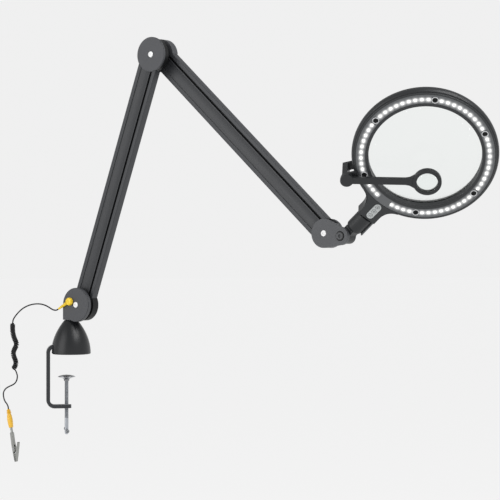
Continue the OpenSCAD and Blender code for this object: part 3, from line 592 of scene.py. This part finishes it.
paint = {
    "arm_lower": surface(
        "arm_lower", (0.033, 0.035, 0.039), 0.42, specular=0.42, grain=900, bump=0.12,
        along=lower_run, scuff_and_painted_light=(0.13, 0.135, 0.14), shade=arm_painted_shade(shoulder_at, lower_run, 1),
    ),
    "arm_upper": surface(
        "arm_upper", (0.0365, 0.0385, 0.043), 0.42, specular=0.42, grain=900, bump=0.12,
        along=upper_run, scuff_and_painted_light=(0.13, 0.135, 0.14), shade=arm_painted_shade(elbow_at, upper_run, -1),
    ),
    "arm_joint": surface(
        "arm_joint", (0.056, 0.058, 0.064), 0.46, specular=0.42, grain=1800,
        scuff_and_painted_light=(0.15, 0.155, 0.16),
    ),
    "wrist": surface(
        "wrist", (0.068, 0.070, 0.076), 0.46, specular=0.42, grain=1800,
        scuff_and_painted_light=(0.15, 0.155, 0.16), shade=knob_painted_shade,
    ),
    "cover": surface(
        "cover", (0.0105, 0.0115, 0.013), 0.34, specular=0.37, grain=2200, bump=0.1,
        scuff_and_painted_light=(0.08, 0.082, 0.085),
    ),
    "clamp": surface(
        "clamp", (0.022, 0.024, 0.027), 0.42, specular=0.4, grain=1500,
        scuff_and_painted_light=(0.16, 0.16, 0.16), edge_tint_strength=0.8,
    ),
    "black": surface(
        "black", (0.006, 0.0065, 0.007), 0.48, specular=0.25, grain=2600, bump=0.2,
        scuff_and_painted_light=(0.022, 0.022, 0.024),
    ),
    # The head's paler edges are partly scuffing and partly a painted highlight along the shell's
    # rim.
    "head": surface(
        "head", (0.0185, 0.020, 0.0215), 0.40, specular=0.36, grain=2600, bump=0.16,
        scuff_and_painted_light=(0.034, 0.036, 0.038), edge_tint_strength=0.2,
    ),
    "bezel": surface(
        "bezel", (0.032, 0.034, 0.036), 0.42, specular=0.3, grain=2600, bump=0.16,
        scuff_and_painted_light=(0.020, 0.021, 0.023),
    ),
    "white": surface("white", (0.86, 0.86, 0.86), 0.35, grain=900, cloud=0.03),
    "zinc": surface(
        "zinc", (0.42, 0.44, 0.47), 0.32, metallic=1.0, grain=700, cloud=0.14,
        scuff_and_painted_light=(0.7, 0.7, 0.7),
    ),
    "thread": surface(
        "thread", (0.20, 0.21, 0.225), 0.38, metallic=1.0, grain=900, cloud=0.2,
        scuff_and_painted_light=(0.4, 0.4, 0.4), edge=0.0002,
    ),
    "plate": surface(
        "plate", (0.42, 0.43, 0.45), 0.14, metallic=1.0, grain=500, bump=0.04, cloud=0.05,
        scuff_and_painted_light=(0.9, 0.9, 0.9), edge_tint_strength=0.7, shade=plate_painted_reflection,
    ),
    # The clip's dark edges are painted shade, standing in for dark reflections on its metal.
    "clip": surface(
        "clip", (0.33, 0.335, 0.32), 0.24, metallic=1.0, grain=500, bump=0.08, cloud=0.25,
        scuff_and_painted_light=(0.03, 0.03, 0.028), edge_tint_strength=1.6, edge=0.0006,
    ),
    "bar": surface(
        "bar", (0.20, 0.21, 0.22), 0.30, metallic=1.0, grain=700, cloud=0.14,
        scuff_and_painted_light=(0.6, 0.6, 0.6),
    ),
    "spring": surface("spring", (0.3, 0.31, 0.33), 0.35, metallic=1.0, grain=1200),
    "tab": surface("tab", (0.10, 0.105, 0.11), 0.42, grain=1500, scuff_and_painted_light=(0.3, 0.3, 0.3)),
    "yellow": surface(
        "yellow", (0.86, 0.58, 0.012), 0.34, grain=1200, bump=0.06, cloud=0.06, coat=0.2
    ),
    "vinyl": surface(
        "vinyl", (0.82, 0.47, 0.03), 0.30, grain=700, bump=0.10, cloud=0.10, coat=0.3
    ),
    "jacket": surface("jacket", (0.010, 0.010, 0.011), 0.45, specular=0.3, grain=2200, bump=0.1),
    "rubber": surface("rubber", (0.010, 0.010, 0.010), 0.7, specular=0.3, grain=1800, bump=0.4),
    # The band's glow is painted spill light from the lights round it.
    "band": surface(
        "band", (0.105, 0.11, 0.115), 0.35, grain=1800, bump=0.1, cloud=0.06, coat=0.15,
        glow=painted_spill_glow,
    ),
    "rim": surface("rim", (0.62, 0.63, 0.64), 0.35, grain=1500, cloud=0.05),
    "board": surface("board", (0.02, 0.09, 0.04), 0.4, grain=300, cloud=0.4),
    "key": surface("key", (0.46, 0.48, 0.48), 0.42, grain=1600, bump=0.2, cloud=0.05),
    "mark": surface("mark", (0.16, 0.17, 0.175), 0.5, grain=1600, cloud=0.05),
    "lens": lens_glass("lens", (0.985, 0.995, 0.99)),
    "light": lit("light", (1.0, 0.995, 0.97), core=1.3, rim=0.42),
}
CAD_PAINT = {
    "clamp": ["clamp_bar", "clamp_bush"],
    "cover": ["base_cover"],
    "black": ["base_core", "lower_foot", "elbow_core", "upper_tip", "cable_gland", "ring_screws"],
    "rubber": ["base_pad", "lens_gasket"],
    "white": ["post_bush", "shoulder_cap", "elbow_cap", "wrist_cap"],
    "zinc": [
        "base_screws", "clamp_screw", "swivel_post", "shoulder_bolt", "shoulder_nut",
        "elbow_bolt", "elbow_nut", "wrist_pins", "neck_pin", "swing_pin", "croc_pin",
    ],
    "plate": ["pressure_plate"],
    "clip": ["croc_body", "croc_jaw"],
    "bar": ["tommy_bar"],
    "arm_joint": ["shoulder_bracket", "elbow_disc", "upper_root"],
    "wrist": ["wrist_bracket", "tilt_knob"],
    "arm_lower": ["lower_profile"],
    "arm_upper": ["upper_profile"],
    "spring": ["lower_spring", "upper_spring"],
    "head": ["tilt_barrel", "head_shell", "lens_clip", "swing_arm"],
    "bezel": ["head_bezel"],
    "tab": ["neck_tab"],
    "band": ["led_band"],
    "board": ["circuit_boards"],
    "key": ["keypad_plate", "power_button", "dim_button", "mode_button"],
    "lens": ["main_lens", "small_lens"],
    "light": ["leds"],
    "yellow": ["esd_snap", "cord_boot"],
    "vinyl": ["clip_grip"],
    "jacket": ["cord_lead", "cord_coil", "cord_tail"],
}


WELD_REACH = 1e-6
REAL_EDGE = 28  # degrees between faces that meet at a real edge


def finish_cad_nodes():
    """Gives each CAD node its material, and smooth shading broken only at its real edges."""
    for kind, names in CAD_PAINT.items():
        for name in names:
            node = nodes[name]
            node.data.materials.clear()
            node.data.materials.append(paint[kind])
            smooth = [True] * len(node.data.polygons)
            node.data.polygons.foreach_set("use_smooth", smooth)
            weld = node.modifiers.new("weld", "WELD")
            weld.merge_threshold = WELD_REACH
            split = node.modifiers.new("split", "EDGE_SPLIT")
            split.split_angle = radians(REAL_EDGE)


# ---- lights of the head ----
def at_place(number):
    """Matrix that puts a piece at a place on the circle of lights."""
    turn = pi - (number - NECK_PLACE) * tau / LED_PLACES
    out = Matrix.Translation((LED_CIRCLE, 0, 0))
    return ring @ Matrix.Rotation(turn, 4, "Z") @ out


def make_lights():
    """Each light: a domed lens in a short collar, facing the light side."""
    dome = [(0, -0.55), *arc((0, 2.6), 3.15, -75, -30, 5), (2.9, 1.4), (2.9, 4.2), (0, 4.2)]
    parts = []
    for number in range(LED_PLACES):
        if number not in SCREW_PLACES and number not in BLANK_PLACES:
            parts.append((*lathe(in_mm(dome), 24), at_place(number)))
    lights = add_mesh("lights", *joined(parts), "head")
    lights.data.materials.append(paint["light"])
    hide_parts("leds")


def make_screw_rims():
    """Pale raised rims round the ring screws, half round in section."""
    middle, half, sunk = 4.3, 0.55, 0.5
    rim = [(middle - half, sunk), *arc((middle, 0.1), half, 180, 360, 6), (middle + half, sunk)]
    parts = [(*lathe(in_mm(rim), 32), at_place(number)) for number in SCREW_PLACES]
    rims = add_mesh("screw_rims", *joined(parts), "head")
    rims.data.materials.append(paint["rim"])


# ---- clamp screw ----
SCREW_X = -7 * MM
SCREW_R = 3.0
THREAD_PITCH = 2.0
THREAD_DEPTH = 0.3
SCREW_FOOT = -126.5  # heights from the foot up, as in the CAD model
THREAD_FROM = -100.5
THREAD_TO = -43.0
SCREW_TOP = -37.0


def make_clamp_screw():
    """Threaded rod: a helical ridge over a core, on a plain domed end."""
    sides, per_turn = 32, 8
    rows = int((THREAD_TO - THREAD_FROM) / THREAD_PITCH * per_turn)
    points = []
    for i in range(rows + 1):
        z = THREAD_FROM + (THREAD_TO - THREAD_FROM) * i / rows
        runout = min(1, i / per_turn, (rows - i) / per_turn)
        for k in range(sides):
            phase = (z / THREAD_PITCH - k / sides) % 1
            ridge = min(1, max(0, 1.6 * (1 - abs(2 * phase - 1)) - 0.25))
            r = SCREW_R - THREAD_DEPTH * runout * (1 - ridge)
            points.append((r * cos(tau * k / sides), r * sin(tau * k / sides), z))
    faces = [
        (i * sides + k, i * sides + (k + 1) % sides,
         (i + 1) * sides + (k + 1) % sides, (i + 1) * sides + k)
        for i in range(rows)
        for k in range(sides)
    ]
    thread = ([(x * MM, y * MM, z * MM) for x, y, z in points], faces, Matrix())
    foot = [(0, SCREW_FOOT), *arc((0, SCREW_FOOT + SCREW_R), SCREW_R, -70, 0, 5),
            (SCREW_R, THREAD_FROM)]
    tip = [(SCREW_R, THREAD_TO), (SCREW_R, SCREW_TOP), (0, SCREW_TOP)]
    place = Matrix.Translation((SCREW_X, 0, 0))
    parts = [thread, (*lathe(in_mm(tip), 32), Matrix())]
    screw = add_mesh("threaded_screw", *joined(parts), "clamp_screw", place, sharp=50)
    screw.data.materials.append(paint["thread"])
    end = add_mesh("screw_end", *lathe(in_mm(foot), 32), "clamp_screw", place, sharp=50)
    end.data.materials.append(paint["zinc"])
    for piece in (screw, end):
        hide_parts("clamp_screw")


# ---- pieces on the ground cord ----
SNAP_AT = (8.7, 83)
SNAP_R = 6.2
CHEEK_FRONT = 12  # face of the bracket's cheek, in front of the arm plane
BOOT_TO = LEAD_ROUTE[0]
GRIP_AT = TAIL_ROUTE[-1]
GRIP_LEAN = 11.8  # degrees from straight down


def make_snap():
    """Round yellow snap plug on the bracket's face, with a stepped rim."""
    out = CHEEK_FRONT
    profile = [
        (0, out), (SNAP_R - 0.5, out), (SNAP_R, out + 0.5), (SNAP_R, out + 2.4),
        (SNAP_R - 0.35, out + 2.7), *arc((SNAP_R - 2.1, out + 3.4), 1.8, 0, 75, 6),
        (1.9, out + 5.25), (1.6, out + 4.9), (0, out + 4.8),
    ]
    toward = frame_of(arm_plane @ (Vector((SNAP_AT[0], 0, SNAP_AT[1])) * MM),
                      reach_axis, -depth_axis)
    snap = add_mesh("snap_plug", *lathe(in_mm(profile), 64), "swivel", toward)
    snap.data.materials.append(paint["yellow"])
    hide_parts("esd_snap")
    return snap


def make_boot():
    """Tapered strain relief with bead-like ribs."""
    start = arm_plane @ (Vector((SNAP_AT[0], CORD_DEPTH, SNAP_AT[1])) * MM)
    end = arm_plane @ (Vector((BOOT_TO[0], CORD_DEPTH, BOOT_TO[1])) * MM)
    length = (end - start).length / MM
    first = SNAP_R - 0.8
    profile = [(0, first), (2.6, first), (2.5, first + 3.4)]
    ribs = 4
    pitch = (length - first - 4.4) / ribs
    for k in range(ribs):
        z = first + 4.0 + k * pitch
        r = 2.35 - 0.22 * k
        profile += [(r - 0.45, z), (r - 0.05, z + 0.3), (r, z + 0.45 * pitch),
                    (r - 0.15, z + pitch - 0.55), (r - 0.5, z + pitch - 0.3)]
    profile += [(1.3, length - 0.2), (1.12, length), (0, length)]
    boot = add_mesh("snap_boot", *lathe(in_mm(profile), 32), "swivel",
                    frame_of(start, depth_axis, end - start))
    boot.data.materials.append(paint["yellow"])
    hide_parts("cord_boot")
    return boot


def make_grip():
    """Dipped vinyl handle with ribs at the cord end and a soft swell."""
    profile = [(0, 0), (1.6, 0), (2.2, 0.5)]
    for k in range(3):
        z = 1.2 + 2.1 * k
        profile += [(2.3 + 0.25 * k, z), *arc((2.9 + 0.25 * k, z + 0.9), 0.6, -60, 60, 3),
                    (2.3 + 0.25 * k, z + 1.8)]
    profile += [(3.2, 8.4), (3.9, 11), (4.35, 15), (4.4, 19), (4.1, 24), (3.7, 28),
                (3.5, 29.4), (3.1, 30), (0, 30)]
    lean = radians(GRIP_LEAN)
    down = arm_plane.to_3x3() @ Vector((sin(lean), 0, -cos(lean)))
    start = arm_plane @ (Vector((GRIP_AT[0], CORD_DEPTH, GRIP_AT[1])) * MM)
    grip = add_mesh("clip_handle", *lathe(in_mm(profile), 40), "swivel",
                    frame_of(start, depth_axis, down))
    grip.data.materials.append(paint["vinyl"])
    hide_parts("clip_grip")
    return grip


# ---- keypad marks ----
KEYPAD_AT = (-112 * MM, 0.9 * MM)
KEY_PITCH = 8 * MM
KEY_FACE = -1.2 * MM
MARK_SUNK = 0.05
MARK_RISE = 0.12


def flat_ring(inner, outer, first=0, last=360):
    """A thin flat ring, or part of one, from MARK_SUNK in the key to MARK_RISE off it."""
    steps = 32
    full = last - first == 360
    turns = [radians(first + (last - first) * k / steps) for k in range(steps + 1)]
    if full:
        turns = turns[:-1]
    points, faces = [], []
    for a in turns:
        for r in (inner, outer):
            for z in (MARK_SUNK, -MARK_RISE):
                points.append((r * cos(a) * MM, r * sin(a) * MM, z * MM))
    count = len(turns)
    for k in range(count if full else count - 1):
        a, b = 4 * k, 4 * ((k + 1) % count)
        faces += [(a, b, b + 1, a + 1), (a + 1, b + 1, b + 3, a + 3),
                  (a + 3, b + 3, b + 2, a + 2), (a + 2, b + 2, b, a)]
    if not full:
        end = 4 * (count - 1)
        faces += [(0, 1, 3, 2), (end, end + 2, end + 3, end + 1)]
    return points, faces


def bar(length, width, at=(0, 0), turn=0):
    """A thin raised bar for the marks."""
    x, y = length / 2 * MM, width / 2 * MM
    corners = ((-x, -y), (x, -y), (x, y), (-x, y))
    points = [(*corner, z * MM) for z in (MARK_SUNK, -MARK_RISE) for corner in corners]
    faces = [(0, 3, 2, 1), (4, 5, 6, 7), (0, 1, 5, 4), (1, 2, 6, 5), (2, 3, 7, 6), (3, 0, 4, 7)]
    place = Matrix.Rotation(turn, 4, "Z")
    place.translation = Vector((at[0] * MM, at[1] * MM, 0))
    return points, faces, place


def make_marks():
    """Plain symbols on the three keys: an open ring with a bar, rays, and a crossed ring."""
    power = [(*flat_ring(1.15, 1.6, 35, 325), Matrix()), bar(1.5, 0.45, (1.1, 0))]
    ray_out = 1.75
    rays = [bar(0.7, 0.35, (ray_out * cos(a), ray_out * sin(a)), a)
            for a in [tau * k / 8 for k in range(8)]]
    bright = [(*flat_ring(0.55, 1.0), Matrix()), *rays]
    mode = [(*flat_ring(1.15, 1.6), Matrix()), bar(1.6, 0.45), bar(0.45, 1.6)]
    for k, name, parts in ((-1, "power", power), (0, "dim", bright), (1, "mode", mode)):
        spot = Matrix.Translation((KEYPAD_AT[0] + k * KEY_PITCH, KEYPAD_AT[1], KEY_FACE))
        mark = add_mesh(name + "_mark", *joined(parts), name + "_button", ring @ spot)
        mark.data.materials.append(paint["mark"])


# ---- studio ----
FLOOR_HALF = 40.0
FLOOR_HEIGHT = -0.5
AREA_LIGHTS = (  # name, place, target, size, watts
    ("key", (1.5, -1.6, 2.4), (0.3, -0.3, 0.2), (1.8, 1.8), 57),
    ("side", (-2.2, -1.2, 0.9), (0.1, -0.1, 0.2), (1.8, 2.4), 27),
)
SKY = [(0.0, 0.87), (0.2, 0.87), (0.45, 0.5), (1.0, 0.42)]  # height over its span, grey


def make_floor():
    """Pale floor, well below the clamp, and far enough across to meet the background."""
    far = FLOOR_HALF
    mesh = bpy.data.meshes.new("floor")
    corners = [(-far, -far), (far, -far), (far, far), (-far, far)]
    mesh.from_pydata([(x, y, FLOOR_HEIGHT) for x, y in corners], [], [(0, 1, 2, 3)])
    floor = bpy.data.objects.new("floor", mesh)
    bpy.context.scene.collection.objects.link(floor)
    material, tree = new_material("floor")
    shader = add(
        tree,
        "BsdfPrincipled",
        Base_Color=(0.10, 0.10, 0.10, 1),
        Roughness=0.9,
        Specular_IOR_Level=0.0,
        Emission_Color=(1, 1, 1, 1),
        Emission_Strength=0.825,
    )
    output = add(tree, "OutputMaterial")
    tree.links.new(shader.outputs[0], output.inputs[0])
    mesh.materials.append(material)


def area_light(name, place, target, size, power):
    """A rectangle of light that faces its target."""
    lamp = bpy.data.lights.new(name, "AREA")
    lamp.shape = "RECTANGLE"
    lamp.size, lamp.size_y = size
    lamp.energy = power
    holder = bpy.data.objects.new(name, lamp)
    bpy.context.scene.collection.objects.link(holder)
    holder.location = place
    toward = Vector(target) - Vector(place)
    holder.rotation_euler = toward.to_track_quat("-Z", "Y").to_euler()


def make_studio():
    make_floor()
    world = bpy.data.worlds.new("studio")
    bpy.context.scene.world = world
    world.use_nodes = True
    tree = world.node_tree
    backdrop = tree.nodes["Background"]
    backdrop.inputs["Strength"].default_value = 1.0
    split = add(tree, "SeparateXYZ", Vector=add(tree, "TexCoord").outputs["Generated"])
    tree.links.new(ramp(tree, split.outputs["Z"], SKY), backdrop.inputs["Color"])
    for light in AREA_LIGHTS:
        area_light(*light)
    bpy.context.scene.view_settings.view_transform = "Standard"


make_camera()
snap = make_snap()
boot = make_boot()
grip = make_grip()
make_cord(paint["jacket"])
finish_cad_nodes()
make_lights()
make_screw_rims()
make_clamp_screw()
make_marks()
make_studio()
